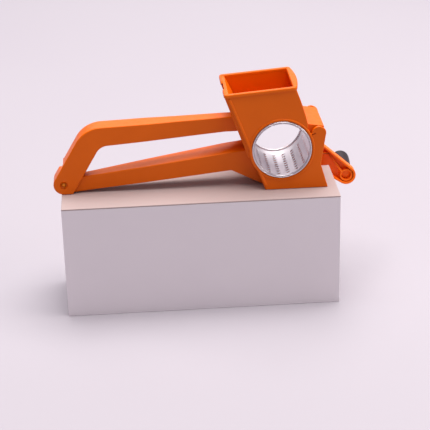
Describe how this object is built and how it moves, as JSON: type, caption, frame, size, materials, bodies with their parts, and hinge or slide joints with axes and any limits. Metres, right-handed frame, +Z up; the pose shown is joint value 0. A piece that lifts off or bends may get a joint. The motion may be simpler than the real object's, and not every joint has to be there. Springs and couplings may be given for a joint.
{
  "type": "rotary cheese grater",
  "caption": "Hand-held rotary cheese grater: a hinged pressing arm pushes cheese down an open-topped hopper on to a crank-turned steel grating drum; it stands on its foot.",
  "frame": {"origin": "middle of the foot's resting face", "axes": "+X from the handle end to the chute mouth, +Y along the drum axis towards the crank, +Z up"},
  "size_m": [0.2758, 0.1017, 0.1178],
  "materials": {
    "body_orange": "satin gloss moulded orange",
    "arm_orange": "satin gloss moulded orange",
    "crank_orange": "gloss moulded orange red",
    "drum_steel": "bright pierced sheet",
    "rim_steel": "bright rolled edge",
    "knob_grey": "satin moulded dark grey"
  },
  "bodies": {
    "frame": {"near_side_plate": "body_orange", "far_side_plate": "body_orange", "hopper_left_wall": "body_orange", "hopper_right_wall": "body_orange", "hopper_rim": "body_orange", "chute_roof": "body_orange", "chute_near_cheek": "body_orange", "chute_far_cheek": "body_orange", "chute_apron": "body_orange", "drum_trough": "body_orange", "foot_plate": "body_orange", "lower_arm": "body_orange", "pivot_pin": "body_orange"},
    "press_arm": {"upper_arm": "arm_orange", "presser_foot": "arm_orange", "presser_shield": "arm_orange", "presser_fin": "arm_orange"},
    "crank": {"crank_hub": "crank_orange", "crank_arm": "crank_orange", "crank_boss": "crank_orange", "crank_ribs": "crank_orange", "knob_spindle": "crank_orange"},
    "drum": {"drum_shell": "drum_steel", "drum_near_rim": "rim_steel", "drum_far_rim": "rim_steel"},
    "knob": {"knob_grip": "knob_grey", "knob_cap": "knob_grey"}
  },
  "joints": [
    {"name": "press_arm_hinge", "type": "hinge", "parent": "frame", "child": "press_arm", "pos_m": [-0.2047, -0.0074, 0.009], "axis": [0, -1, 0], "range_deg": [0, 75]},
    {"name": "crank_turn", "type": "hinge", "parent": "frame", "child": "crank", "pos_m": [-0.013, 0.0277, 0.0375], "axis": [0, -1, 0], "continuous": true},
    {"name": "knob_spin", "type": "hinge", "parent": "crank", "child": "knob", "pos_m": [0.05337, 0.055, -0.01398], "axis": [0, 1, 0], "continuous": true},
    {"name": "drum_draw", "type": "slide", "parent": "crank", "child": "drum", "axis": [0, -1, 0], "range_m": [0, 0.07]}
  ]
}
